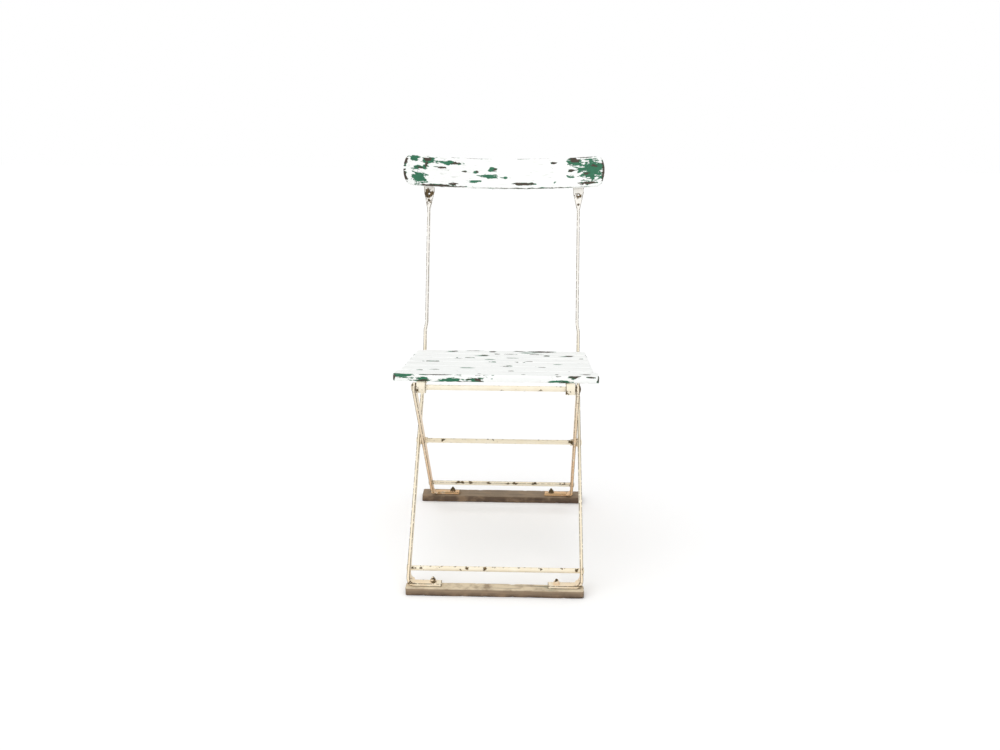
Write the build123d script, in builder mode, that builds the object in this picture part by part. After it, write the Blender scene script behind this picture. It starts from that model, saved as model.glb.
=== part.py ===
from build123d import *
from math import asin, atan2, cos, degrees, hypot, radians, sin
import os

# Folding garden chair: a flat-iron X frame on two wooden skids, a slatted seat and a curved back slat.
# Frame: +X to the right of someone facing its front, +Y to the rear, +Z up.
# The origin is on the floor, midway between the outer edges of the skids.
# Sizes are in millimetres, angles in degrees.

# Skids, the wooden runners under the feet
skid_height = 16.0
front_skid_length = 353.0
front_skid_width = 28.0
rear_skid_length = 400.0
rear_skid_width = 46.0
skid_end_radius = 5.0

# Feet: the two pairs, and how far each stands behind the front edge of its skid
foot_spacing = 483.0
front_foot_margin = 9.0
rear_foot_margin = 9.0

# Flat-iron bars
bar_width = 18.0
bar_thickness = 6.0
foot_length = 67.0
foot_bend_radius = 12.0
foot_bolt_inset = 50.0

# Seat linkage, seen from the side
hinge_y = -240.0
hinge_height = 420.0
seat_link_length = 339.0
seat_tilt = 4.7
back_lean = 17.0
back_bend_radius = 70.0

# Widths of the two frames, from the centre plane to the middle of a bar
short_gauge_top = 153.5
short_gauge_foot = 173.5
joggle = 3.0
joggle_start = 70.0
joggle_length = 16.0

# Rods
rod_radius = 5.0
tenon_radius = 4.0
rivet_head_radius = 7.0
rivet_head_height = 2.5
rivet_head_taper = 45.0
front_stretcher_distance = 33.0
rear_stretcher_distance = 80.0
rear_stretcher_width = 18.0
rear_stretcher_thickness = 5.0

# Pivot
pivot_clearance = 0.08
side_clearance = 0.3
pivot_washer_radius = 9.0
pivot_washer_thickness = 3.4
pivot_collar_radius = 6.8
pivot_collar_thickness = 5.0

# Seat
seat_back_clearance = 1.0
seat_front_overhang = 3.0
seat_slat_count = 6
seat_slat_gap = 4.0
seat_slat_thickness = 14.0
front_slat_length = 387.0
seat_slat_length = 374.0
seat_slat_corner = 7.0
rail_gauge = 140.0
rail_width = 18.0
rail_thickness = 6.0
rail_bend_radius = 6.0
eye_clearance = 0.1
eye_wrap = 292.0
rest_clearance = 0.2
hook_clearance = 0.6
hook_drop = 8.0

# Back slat and the forged spades that carry it
back_slat_length = 452.0
back_slat_height = 68.0
back_slat_thickness = 12.0
back_slat_radius = 800.0
back_slat_corner = 18.0
back_slat_distance = 394.0
spade_start = 344.0
spade_taper = 40.0
spade_width = 24.0
spade_thickness = 5.0
spade_margin = 7.0
spade_hole_radius = 2.2
spade_hole_distance = 379.0
back_screw_spread = 18.0

# Fasteners
bolt_radius = 3.0
bolt_clearance = 0.1
bolt_head_radius = 6.0
bolt_head_height = 3.0
bolt_thread_end = 4.0
nut_size = 10.0
nut_thickness = 5.0
washer_radius = 7.0
washer_thickness = 1.5
recess_clearance = 1.0
screw_radius = 2.0
screw_head_radius = 4.0
screw_head_height = 2.2
seat_screw_bite = 9.0
back_screw_bite = 8.0


os.makedirs("parts", exist_ok=True)


def save(piece, name):
    piece.part.label = name
    export_step(piece.part, f"parts/{name}.step")


# Side view points, as (y, z)
front_foot_inset = front_foot_margin + bar_width / 2
rear_foot_inset = rear_foot_margin + bar_width / 2
depth_over_skids = front_foot_inset + foot_spacing + rear_skid_width - rear_foot_inset
front_foot = (front_foot_inset - depth_over_skids / 2, skid_height)
rear_foot = (front_foot[0] + foot_spacing, skid_height)
front_skid_middle = (front_skid_width - depth_over_skids) / 2
rear_skid_middle = (depth_over_skids - rear_skid_width) / 2
hinge = (hinge_y, hinge_height)
tilt = radians(seat_tilt)
lean = radians(back_lean)
rear_rod = (
    hinge_y + seat_link_length * cos(tilt) - rest_clearance * sin(tilt),
    hinge_height - seat_link_length * sin(tilt) - rest_clearance * cos(tilt),
)

# The two legs cross at the pivot
long_rise = (rear_rod[1] - front_foot[1]) / (rear_rod[0] - front_foot[0])
short_rise = (hinge[1] - rear_foot[1]) / (hinge[0] - rear_foot[0])
pivot_y = (rear_foot[1] - front_foot[1] + long_rise * front_foot[0] - short_rise * rear_foot[0]) / (
    long_rise - short_rise
)
pivot = (pivot_y, front_foot[1] + long_rise * (pivot_y - front_foot[0]))
long_angle = atan2(rear_rod[1] - front_foot[1], rear_rod[0] - front_foot[0])
short_angle = atan2(hinge[1] - rear_foot[1], hinge[0] - rear_foot[0])
short_length = hypot(hinge[0] - rear_foot[0], hinge[1] - rear_foot[1])

# Sideways places of the bars
foot_middle = skid_height + bar_thickness / 2
short_slope = (short_gauge_foot - short_gauge_top) / (hinge_height - foot_middle)


def short_gauge(z):
    """Half the distance between the middles of the short bars at a height."""
    return short_gauge_foot - short_slope * (z - foot_middle)


bar_skew = short_slope * bar_width / 2
short_half_thickness = bar_thickness / 2 * hypot(1, short_slope)
pivot_washer_face = short_gauge(pivot[1]) + short_half_thickness + bar_skew + side_clearance
long_face = pivot_washer_face + pivot_washer_thickness
long_gauge = long_face + bar_thickness / 2
upright_gauge = long_gauge - joggle

# Working planes
seat_plane = Plane(origin=(0, *hinge), x_dir=(1, 0, 0), z_dir=(0, sin(tilt), cos(tilt)))
upright_plane = Plane(origin=(0, *rear_rod), x_dir=(1, 0, 0), z_dir=(0, sin(lean), cos(lean)))
eye_bore = rod_radius + eye_clearance
rail_top = eye_bore + rail_thickness


def along(start, angle, distance):
    """The side view point at a distance from another, in a direction."""
    return (start[0] + distance * cos(angle), start[1] + distance * sin(angle))


def side_bore(place, radius):
    """A hole across the chair, through the bar in hand."""
    with BuildSketch(Plane.YZ) as outline:
        with Locations(place):
            Circle(radius)
    extrude(outline.sketch, amount=bore_depth, mode=Mode.SUBTRACT)


def foot_hole(foot, gauge):
    """The bolt hole near the inner end of a foot."""
    with BuildSketch(Plane.XY.offset(skid_height)) as outline:
        with Locations((gauge - foot_bolt_inset, foot[0])):
            Circle(bolt_radius + bolt_clearance)
    extrude(outline.sketch, amount=bar_thickness, mode=Mode.SUBTRACT)


def side_outline(foot):
    """Squares off the strip in hand above the skid and puts the foot under it."""
    with Locations((foot[0], foot[1] + bar_thickness)):
        Rectangle(4 * bar_width, 4 * bar_width, align=(Align.CENTER, Align.MAX), mode=Mode.SUBTRACT)
    with Locations(foot):
        Rectangle(bar_width, bar_thickness, align=(Align.CENTER, Align.MIN))


def foot_profile(gauge, top):
    """The front view line of a bar that turns inwards into its foot."""
    points = [(gauge - foot_length, foot_middle), (gauge, foot_middle), top]
    return FilletPolyline(*points, radius=foot_bend_radius)


def mirrored(piece):
    """The same piece on the left hand side."""
    with BuildPart() as copy:
        add(piece.part)
        mirror(about=Plane.YZ, mode=Mode.REPLACE)
    return copy


# Long bars: front foot, pivot, seat rod, and the upright with its forged spade
spade_end = back_slat_distance + back_slat_height - spade_margin
spade_radius = back_slat_radius + spade_thickness / 2
spade_turn = degrees(asin(upright_gauge / spade_radius))
joggle_z = rear_rod[1] + joggle_start * cos(lean)
upright_top = rear_rod[1] + spade_end
bore_depth = 2 * long_gauge


def spade_section(distance, width, thickness, turn):
    """A section across the upright."""
    with BuildSketch(upright_plane.offset(distance)) as section:
        with Locations((upright_gauge, 0)):
            Rectangle(width, thickness, rotation=-turn)
    return section.sketch.face()


def screw_frame(distance, side):
    """The plane on the rear face of a spade, facing backwards, seen along the slat's radius."""
    turn = radians(spade_turn) * side
    across = Vector(cos(turn), -sin(turn), 0)
    outward = Vector(sin(turn), cos(turn), 0)
    center = Vector(upright_gauge * side, 0, distance) + outward * (spade_thickness / 2)
    flat = Plane(origin=center, x_dir=across, z_dir=outward)
    return upright_plane.location * flat.location


upright_face_plane = Plane(origin=(0, *rear_rod), x_dir=(1, 0, 0), z_dir=(0, -cos(lean), sin(lean)))
slat_middle = back_slat_distance + back_slat_height / 2
back_screw_places = [slat_middle - back_screw_spread, slat_middle + back_screw_spread]

with BuildPart() as right_long_bar:
    with BuildSketch(Plane.YZ):
        with BuildLine():
            FilletPolyline(
                along(front_foot, long_angle, -bar_width),
                rear_rod,
                along(rear_rod, radians(90) - lean, spade_start),
                radius=back_bend_radius,
            )
        trace(line_width=bar_width)
        side_outline(front_foot)
    extrude(amount=bore_depth)
    with BuildSketch(Plane.XZ):
        with BuildLine():
            foot_profile(long_gauge, (long_gauge, joggle_z))
            Polyline(
                (long_gauge, joggle_z),
                (upright_gauge, joggle_z + joggle_length),
                (upright_gauge, upright_top),
            )
        trace(line_width=bar_thickness)
    extrude(amount=foot_spacing, both=True, mode=Mode.INTERSECT)
    # forged taper from the bar on edge to the flat spade, then the spade
    bar_end = spade_section(spade_start, bar_thickness, bar_width, 0)
    spade_foot = spade_section(spade_start + spade_taper, spade_width, spade_thickness, spade_turn)
    loft([bar_end, spade_foot])
    extrude(spade_foot, amount=spade_end - spade_start - spade_taper)
    for distance in back_screw_places:
        with Locations(screw_frame(distance, 1)):
            Hole(screw_radius + bolt_clearance, depth=spade_thickness)
    with BuildSketch(upright_face_plane):
        with Locations((upright_gauge, spade_hole_distance)):
            Circle(spade_hole_radius)
    extrude(amount=bar_width, both=True, mode=Mode.SUBTRACT)
    side_bore(pivot, tenon_radius)
    side_bore(rear_rod, tenon_radius)
    side_bore(along(front_foot, long_angle, front_stretcher_distance), tenon_radius)
    foot_hole(front_foot, long_gauge)

save(right_long_bar, "right_long_bar")
left_long_bar = mirrored(right_long_bar)
save(left_long_bar, "left_long_bar")

# Short bars: rear foot, pivot and the eye for the seat hinge rod
with BuildPart() as right_short_bar:
    with BuildSketch(Plane.YZ):
        with BuildLine():
            Polyline(along(rear_foot, short_angle, -bar_width), hinge)
        trace(line_width=bar_width)
        side_outline(rear_foot)
        with Locations(hinge):
            Circle(bar_width / 2)
    extrude(amount=bore_depth)
    with BuildSketch(Plane.XZ):
        with BuildLine():
            above_hinge = hinge_height + bar_width
            foot_profile(short_gauge_foot, (short_gauge(above_hinge), above_hinge))
        trace(line_width=bar_thickness)
    extrude(amount=foot_spacing, both=True, mode=Mode.INTERSECT)
    side_bore(pivot, rod_radius + pivot_clearance)
    side_bore(hinge, tenon_radius)
    side_bore(along(rear_foot, short_angle, rear_stretcher_distance), tenon_radius)
    foot_hole(rear_foot, short_gauge_foot)

save(right_short_bar, "right_short_bar")
left_short_bar = mirrored(right_short_bar)
save(left_short_bar, "left_short_bar")


def disc(place, start, length, radius):
    """A round disc or rod along X from a starting place, on the right hand side."""
    with BuildSketch(Plane.YZ.offset(start)) as outline:
        with Locations(place):
            Circle(radius)
    extrude(outline.sketch, amount=length)


def riveted_end(place, shoulder, outer_face):
    """A tenon through a bar with its end peened over into a low head."""
    disc(place, shoulder, outer_face - shoulder, tenon_radius)
    with BuildSketch(Plane.YZ.offset(outer_face)) as base:
        with Locations(place):
            Circle(rivet_head_radius)
    extrude(base.sketch, amount=rivet_head_height, taper=rivet_head_taper)


def riveted_rod(place, shoulder, outer_face):
    """A round rod between two bars, riveted at both ends."""
    with BuildPart() as rod:
        disc(place, 0, shoulder, rod_radius)
        riveted_end(place, shoulder, outer_face)
        mirror(about=Plane.YZ)
    return rod


# Cross rods
front_stretcher_place = along(front_foot, long_angle, front_stretcher_distance)
front_stretcher = riveted_rod(front_stretcher_place, long_face, long_face + bar_thickness)
save(front_stretcher, "front_stretcher")

rear_seat_rod = riveted_rod(rear_rod, long_face, long_face + bar_thickness)
save(rear_seat_rod, "rear_seat_rod")

hinge_face = short_gauge(hinge_height) - short_half_thickness - bar_skew
hinge_outer_face = short_gauge(hinge_height) + short_half_thickness + bar_skew
seat_hinge_rod = riveted_rod(hinge, hinge_face, hinge_outer_face)
save(seat_hinge_rod, "seat_hinge_rod")

# Rear stretcher: a flat bar on edge with a riveted tenon at each end
rear_stretcher_place = along(rear_foot, short_angle, rear_stretcher_distance)
stretcher_outer_face = short_gauge(rear_stretcher_place[1]) + short_half_thickness + bar_skew
with BuildPart() as rear_stretcher:
    with BuildSketch(Plane.YZ):
        with Locations(Location(rear_stretcher_place, degrees(short_angle))):
            Rectangle(rear_stretcher_width, rear_stretcher_thickness)
    extrude(amount=bore_depth, both=True)
    with BuildSketch(Plane.XZ):
        low = rear_stretcher_place[1] - rear_stretcher_width
        high = rear_stretcher_place[1] + rear_stretcher_width
        with BuildLine():
            Polyline(
                (short_gauge(low) - short_half_thickness, low),
                (short_gauge(high) - short_half_thickness, high),
                (short_half_thickness - short_gauge(high), high),
                (short_half_thickness - short_gauge(low), low),
                close=True,
            )
        make_face()
    extrude(amount=foot_spacing, both=True, mode=Mode.INTERSECT)
    tenon_root = short_gauge(rear_stretcher_place[1]) - bar_thickness
    riveted_end(rear_stretcher_place, tenon_root, stretcher_outer_face)
    mirror(about=Plane.YZ)
save(rear_stretcher, "rear_stretcher")


def hexagon_nut(plane, place, size, thickness, bore):
    """A six-sided nut on a plane, with its threaded hole."""
    with BuildSketch(plane) as outline:
        with Locations(place):
            RegularPolygon(size / 2, 6, major_radius=False)
            Circle(bore, mode=Mode.SUBTRACT)
    extrude(outline.sketch, amount=thickness)


def ring(plane, place, outer, inner, thickness):
    """A flat washer on a plane."""
    with BuildSketch(plane) as outline:
        with Locations(place):
            Circle(outer)
            Circle(inner, mode=Mode.SUBTRACT)
    extrude(outline.sketch, amount=thickness)


# Pivot rod, riveted outside the long bars, with washers and collars either side of the short bars
pivot_inner_face = short_gauge(pivot[1]) - short_half_thickness - bar_skew - side_clearance
pivot_rod = riveted_rod(pivot, long_face, long_face + bar_thickness)
save(pivot_rod, "pivot_rod")

with BuildPart() as pivot_washers:
    ring(Plane.YZ.offset(pivot_washer_face), pivot, pivot_washer_radius, rod_radius, pivot_washer_thickness)
    mirror(about=Plane.YZ)
save(pivot_washers, "pivot_washers")

with BuildPart() as pivot_collars:
    collar_plane = Plane.YZ.offset(pivot_inner_face - pivot_collar_thickness)
    ring(collar_plane, pivot, pivot_collar_radius, rod_radius, pivot_collar_thickness)
    mirror(about=Plane.YZ)
save(pivot_collars, "pivot_collars")


def skid(middle, length, width, foot, gauge):
    """A wooden runner with worn ends, bored and recessed for the foot bolts."""
    with BuildPart() as runner:
        with BuildSketch(Plane.XY):
            with Locations((0, middle)):
                RectangleRounded(length, width, skid_end_radius)
        extrude(amount=skid_height)
        with BuildSketch(Plane.XY) as recesses:
            with Locations(*bolt_places(foot, gauge)):
                Circle(bolt_head_radius + recess_clearance)
        extrude(recesses.sketch, amount=bolt_head_height + recess_clearance, mode=Mode.SUBTRACT)
        with BuildSketch(Plane.XY) as bores:
            with Locations(*bolt_places(foot, gauge)):
                Circle(bolt_radius + bolt_clearance)
        extrude(bores.sketch, amount=skid_height, mode=Mode.SUBTRACT)
    return runner


def bolt_places(foot, gauge):
    """Where the bolts of a pair of feet stand."""
    reach = gauge - foot_bolt_inset
    return [(-reach, foot[0]), (reach, foot[0])]


def foot_bolts(foot, gauge):
    """Round-headed bolts put up through the skid and the feet."""
    head_top = bolt_head_height + recess_clearance
    stack = skid_height + bar_thickness + washer_thickness + nut_thickness + bolt_thread_end
    with BuildPart() as bolts:
        with BuildSketch(Plane.XY.offset(recess_clearance)):
            with Locations(*bolt_places(foot, gauge)):
                Circle(bolt_head_radius)
        extrude(amount=bolt_head_height)
        with BuildSketch(Plane.XY.offset(head_top)):
            with Locations(*bolt_places(foot, gauge)):
                Circle(bolt_radius)
        extrude(amount=stack - head_top)
    return bolts


def foot_washers(foot, gauge):
    """Washers on top of the feet."""
    with BuildPart() as washers:
        for place in bolt_places(foot, gauge):
            base = Plane.XY.offset(skid_height + bar_thickness)
            ring(base, place, washer_radius, bolt_radius, washer_thickness)
    return washers


def foot_nuts(foot, gauge):
    """Hexagon nuts on top of the washers."""
    with BuildPart() as nuts:
        for place in bolt_places(foot, gauge):
            base = Plane.XY.offset(skid_height + bar_thickness + washer_thickness)
            hexagon_nut(base, place, nut_size, nut_thickness, bolt_radius)
    return nuts


front_skid = skid(front_skid_middle, front_skid_length, front_skid_width, front_foot, long_gauge)
rear_skid = skid(rear_skid_middle, rear_skid_length, rear_skid_width, rear_foot, short_gauge_foot)
save(front_skid, "front_skid")
save(rear_skid, "rear_skid")

for end, foot, gauge in (("front", front_foot, long_gauge), ("rear", rear_foot, short_gauge_foot)):
    save(foot_bolts(foot, gauge), f"{end}_foot_bolts")
    save(foot_washers(foot, gauge), f"{end}_foot_washers")
    save(foot_nuts(foot, gauge), f"{end}_foot_nuts")

# Seat rails: flat iron under the slats, curled round the hinge rod in front, hooked behind the seat rod
eye_middle = eye_bore + rail_thickness / 2
hook_x = seat_link_length + rod_radius + hook_clearance + rail_thickness / 2
rail_plane = Plane(origin=(rail_gauge, *hinge), x_dir=(0, cos(tilt), -sin(tilt)), z_dir=(1, 0, 0))
seat_depth = seat_link_length + seat_front_overhang - bar_width / 2 - seat_back_clearance
slat_width = (seat_depth - seat_slat_gap * (seat_slat_count - 1)) / seat_slat_count


def slat_middle_line(number):
    """The distance of a slat's middle behind the hinge rod."""
    return slat_width / 2 - seat_front_overhang + number * (slat_width + seat_slat_gap)


with BuildPart() as right_seat_rail:
    with BuildSketch(rail_plane):
        with BuildLine():
            FilletPolyline(
                (0, eye_middle), (hook_x, eye_middle), (hook_x, -hook_drop), radius=rail_bend_radius
            )
            CenterArc((0, 0), eye_middle, 90, eye_wrap)
        trace(line_width=rail_thickness)
    extrude(amount=rail_width / 2, both=True)
    with BuildSketch(seat_plane):
        for number in range(seat_slat_count):
            with Locations((rail_gauge, slat_middle_line(number))):
                Circle(screw_radius + bolt_clearance)
    extrude(amount=rail_top, mode=Mode.SUBTRACT)
save(right_seat_rail, "right_seat_rail")
left_seat_rail = mirrored(right_seat_rail)
save(left_seat_rail, "left_seat_rail")


def seat_slat(number, length):
    """A seat slat with rounded corners, bored from below for its two screws."""
    with BuildPart() as slat:
        with BuildSketch(seat_plane.offset(rail_top)):
            with Locations((0, slat_middle_line(number))):
                RectangleRounded(length, slat_width, seat_slat_corner)
        extrude(amount=seat_slat_thickness)
        with BuildSketch(seat_plane.offset(rail_top)):
            with Locations(*slat_screw_places(number)):
                Circle(screw_radius)
        extrude(amount=seat_screw_bite, mode=Mode.SUBTRACT)
    return slat


def slat_screw_places(number):
    """Where a slat is screwed to the two rails."""
    return [(-rail_gauge, slat_middle_line(number)), (rail_gauge, slat_middle_line(number))]


for number in range(seat_slat_count):
    slat_length = front_slat_length if number == 0 else seat_slat_length
    save(seat_slat(number, slat_length), f"seat_slat_{number + 1}")

with BuildPart() as seat_screws:
    for number in range(seat_slat_count):
        with BuildSketch(seat_plane.offset(eye_bore - screw_head_height)):
            with Locations(*slat_screw_places(number)):
                Circle(screw_head_radius)
        extrude(amount=screw_head_height)
        with BuildSketch(seat_plane.offset(eye_bore)):
            with Locations(*slat_screw_places(number)):
                Circle(screw_radius)
        extrude(amount=rail_thickness + seat_screw_bite)
save(seat_screws, "seat_screws")

# Back slat, bent to a gentle curve whose ends come forwards
back_slat_center = -spade_radius * cos(radians(spade_turn))
back_slat_front = back_slat_center + back_slat_radius - back_slat_thickness
screw_frames = [screw_frame(distance, side) for distance in back_screw_places for side in (-1, 1)]

with BuildPart() as back_slat:
    with BuildSketch(upright_plane.offset(back_slat_distance)):
        with Locations((0, back_slat_center)):
            Circle(back_slat_radius)
            Circle(back_slat_radius - back_slat_thickness, mode=Mode.SUBTRACT)
        with Locations((0, back_slat_front)):
            Rectangle(back_slat_length, back_slat_length, mode=Mode.INTERSECT)
    extrude(amount=back_slat_height)
    slat_ends = back_slat.edges().filter_by(Axis((0, 0, 0), (0, cos(lean), -sin(lean))))
    fillet(slat_ends, radius=back_slat_corner)
    with Locations(*screw_frames):
        Cylinder(
            screw_radius,
            spade_thickness + back_screw_bite,
            align=(Align.CENTER, Align.CENTER, Align.MAX),
            mode=Mode.SUBTRACT,
        )
save(back_slat, "back_slat")

with BuildPart() as back_screws:
    with Locations(*screw_frames):
        Cylinder(screw_head_radius, screw_head_height, align=(Align.CENTER, Align.CENTER, Align.MIN))
        Cylinder(
            screw_radius,
            spade_thickness + back_screw_bite,
            align=(Align.CENTER, Align.CENTER, Align.MAX),
        )
save(back_screws, "back_screws")
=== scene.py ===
# %% [markdown]
# # A folding garden chair in old paint
# The chair is a flat-iron X frame with a slatted wooden seat, a curved back slat and two wooden
# runners on the ground. The imported model already holds every part at its true size and place.
# Here each part gets its worn edges and its old paint, and stays where the imported model has it.
# The finished chair has to fit in it.

# %% Load the imported model
import math

import bmesh
import bpy
from mathutils import Matrix, Vector, noise


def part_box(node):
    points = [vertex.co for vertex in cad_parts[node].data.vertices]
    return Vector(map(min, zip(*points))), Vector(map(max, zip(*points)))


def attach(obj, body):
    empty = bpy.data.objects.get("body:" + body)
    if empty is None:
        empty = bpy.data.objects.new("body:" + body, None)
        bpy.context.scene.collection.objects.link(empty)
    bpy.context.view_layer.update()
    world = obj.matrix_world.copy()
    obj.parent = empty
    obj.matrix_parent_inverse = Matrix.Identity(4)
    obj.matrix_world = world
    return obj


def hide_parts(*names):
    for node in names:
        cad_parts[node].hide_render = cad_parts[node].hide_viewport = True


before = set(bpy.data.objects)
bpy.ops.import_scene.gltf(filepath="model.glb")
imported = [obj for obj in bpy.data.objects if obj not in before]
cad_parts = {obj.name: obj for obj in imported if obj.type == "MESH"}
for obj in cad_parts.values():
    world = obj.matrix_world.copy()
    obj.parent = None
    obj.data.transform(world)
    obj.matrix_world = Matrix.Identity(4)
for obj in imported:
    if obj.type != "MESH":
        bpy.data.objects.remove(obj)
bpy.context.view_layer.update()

print("parts in the packed model:", len(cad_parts))

# %% [markdown]
# ## Camera
# The chair is seen from the front, from just above the top of its back, about two metres
# away. A camera could be aimed with a constraint, but a plain matrix says exactly
# where it stands and how it is turned: about Z for the heading, about X for the pitch, and about
# its own line of sight for the small roll. The two shifts slide the picture without turning the camera.

# %% Camera
camera_place = Vector((0.0565, -1.8283, 0.8495))
camera_heading = math.radians(1.16)
camera_pitch = math.radians(90 - 14.81)
camera_roll = math.radians(0.5)

camera_data = bpy.data.cameras.new("front_camera")
camera_data.sensor_width = 36.0
camera_data.lens = 31.63
camera_data.shift_x = -0.0088
camera_data.shift_y = 0.0085
camera = bpy.data.objects.new("front_camera", camera_data)
camera.matrix_world = (
    Matrix.Translation(camera_place)
    @ Matrix.Rotation(camera_heading, 4, "Z")
    @ Matrix.Rotation(camera_pitch, 4, "X")
    @ Matrix.Rotation(camera_roll, 4, "Z")
)
bpy.context.scene.collection.objects.link(camera)
bpy.context.scene.camera = camera
print("camera stands", round(-camera_place.y, 2), "m in front of the chair")

# %% [markdown]
# ## Light
# A product shot of a pale object needs a white ground and light from everywhere. The world does
# both jobs, but a world bright enough for a white ground would wash the form out. So the
# world is white to the camera and dimmer as a light, which its Light Path node decides. A sun as wide as
# an overcast sky gives the rest: it comes from the upper left, so tops are brighter than fronts and
# the shadow on the floor is soft.

# %% World and sun
scene = bpy.context.scene
scene.view_settings.view_transform = "Standard"
world = bpy.data.worlds.new("white_studio")
world.use_nodes = True
world_tree = world.node_tree
ray_kind = world_tree.nodes.new("ShaderNodeLightPath")
world_strength = world_tree.nodes.new("ShaderNodeMapRange")
world_strength.inputs["To Min"].default_value = 0.66
world_strength.inputs["To Max"].default_value = 1.0
background = world_tree.nodes["Background"]
background.inputs["Color"].default_value = (1.0, 1.0, 1.0, 1.0)
world_tree.links.new(ray_kind.outputs["Is Camera Ray"], world_strength.inputs["Value"])
world_tree.links.new(world_strength.outputs["Result"], background.inputs["Strength"])
scene.world = world

sun_data = bpy.data.lights.new("soft_sun", "SUN")
sun_data.energy = 1.5
sun_data.angle = math.radians(90)
sun = bpy.data.objects.new("soft_sun", sun_data)
sun.rotation_euler = (math.radians(31), 0, math.radians(-28))
scene.collection.objects.link(sun)
print("sun strength", sun_data.energy, "world strength", world_strength.inputs["To Min"].default_value)

# %% [markdown]
# ## Colours and shader helpers
# Colours are easiest to pick as the 0 to 255 numbers of a paint chart, but a shader wants linear
# light. `chart` turns one into the other. The other helpers only save typing: each adds one node,
# and takes either a number or the output of another node for every input.

# %% Colour and node helpers
CHART_TOP = 255.0
CHART_GAMMA = 2.2


def chart(red, green, blue):
    """A paint chart colour as linear light."""
    return tuple((channel / CHART_TOP) ** CHART_GAMMA for channel in (red, green, blue)) + (1.0,)


def feed(tree, socket, value):
    """Links a node output to a socket, or sets the socket to a number."""
    if isinstance(value, bpy.types.NodeSocket):
        tree.links.new(value, socket)
    else:
        socket.default_value = value


def sum_node(tree, operation, first, second=0.0, third=0.0):
    """One Math node."""
    node = tree.nodes.new("ShaderNodeMath")
    node.operation = operation
    for socket, value in zip(node.inputs, (first, second, third)):
        feed(tree, socket, value)
    return node.outputs[0]


def ramp_node(tree, value, low, high):
    """0 below low, 1 above high, and a smooth step between."""
    node = tree.nodes.new("ShaderNodeMapRange")
    node.interpolation_type = "SMOOTHSTEP"
    feed(tree, node.inputs["Value"], value)
    feed(tree, node.inputs["From Min"], low)
    feed(tree, node.inputs["From Max"], high)
    return node.outputs["Result"]


def blend_node(tree, share, first, second):
    """A mix of two colours."""
    node = tree.nodes.new("ShaderNodeMix")
    node.data_type = "RGBA"
    feed(tree, node.inputs[0], share)
    feed(tree, node.inputs[6], first)
    feed(tree, node.inputs[7], second)
    return node.outputs[2]


def noise_node(tree, vector, scale, detail=4.0, roughness=0.55):
    """A cloudy noise read at a vector."""
    node = tree.nodes.new("ShaderNodeTexNoise")
    feed(tree, node.inputs["Vector"], vector)
    feed(tree, node.inputs["Scale"], scale)
    feed(tree, node.inputs["Detail"], detail)
    feed(tree, node.inputs["Roughness"], roughness)
    return node.outputs["Fac"]


def stretched(tree, vector, scale, offset=(0.0, 0.0, 0.0)):
    """A vector scaled by its own amount along each axis, then moved."""
    node = tree.nodes.new("ShaderNodeMapping")
    feed(tree, node.inputs["Vector"], vector)
    node.inputs["Scale"].default_value = scale
    node.inputs["Location"].default_value = offset
    return node.outputs["Vector"]


def attribute_node(tree, name):
    """The value stored on the mesh under a name."""
    node = tree.nodes.new("ShaderNodeAttribute")
    node.attribute_name = name
    return node.outputs["Fac"]


def bump_node(tree, height, strength, distance):
    """A normal tilted by a height."""
    node = tree.nodes.new("ShaderNodeBump")
    node.inputs["Strength"].default_value = strength
    node.inputs["Distance"].default_value = distance
    feed(tree, node.inputs["Height"], height)
    return node.outputs["Normal"]


print("white paint as linear light:", [round(v, 3) for v in chart(243, 245, 242)])

# %% [markdown]
# ## Shared effects
# Three effects turn up in more than one finish: wood grain, chipped paint and rust spots. Each is
# built once as a node group with named inputs. A group only gives out masks, and the
# material that uses it turns them into colour. All boards run along X, so grain is noise
# that changes slowly along X and fast across it.


# %% Node group helper
def effect_group(name, inputs, outputs):
    """An empty node group, with its inputs and outputs ready to link."""
    group = bpy.data.node_groups.new(name, "ShaderNodeTree")
    for label, kind, value in inputs:
        socket = group.interface.new_socket(label, in_out="INPUT", socket_type=kind)
        if value is not None:
            socket.default_value = value
    for label in outputs:
        group.interface.new_socket(label, in_out="OUTPUT", socket_type="NodeSocketFloat")
    return group, group.nodes.new("NodeGroupInput").outputs, group.nodes.new("NodeGroupOutput").inputs


def effect_node(tree, group, **values):
    """A group placed in a material, with its inputs set or linked by name."""
    node = tree.nodes.new("ShaderNodeGroup")
    node.node_tree = group
    for label, value in values.items():
        feed(tree, node.inputs[label], value)
    return node.outputs


# %% Wood grain
grain_group, grain_in, grain_out = effect_group(
    "wood_grain", [("Place", "NodeSocketVector", None)], ["Streaks", "Cracks"]
)
streak_vector = stretched(grain_group, grain_in["Place"], (9.0, 210.0, 210.0))
streaks = noise_node(grain_group, streak_vector, 1.0, 5.0, 0.6)
crack_vector = stretched(grain_group, grain_in["Place"], (7.0, 330.0, 330.0), (0.4, 0.1, 0.7))
cracks = ramp_node(grain_group, noise_node(grain_group, crack_vector, 1.0, 2.0, 0.5), 0.63, 0.7)
feed(grain_group, grain_out["Streaks"], streaks)
feed(grain_group, grain_out["Cracks"], cracks)
print("grain group has", len(grain_group.nodes), "nodes")

# %% [markdown]
# Paint chips have hard ragged edges. A soft field says where a chip is likely, high at
# its heart and falling away round it, noise tears the edge of the field, and a narrow ramp
# cuts the result into paint and no paint.

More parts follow.
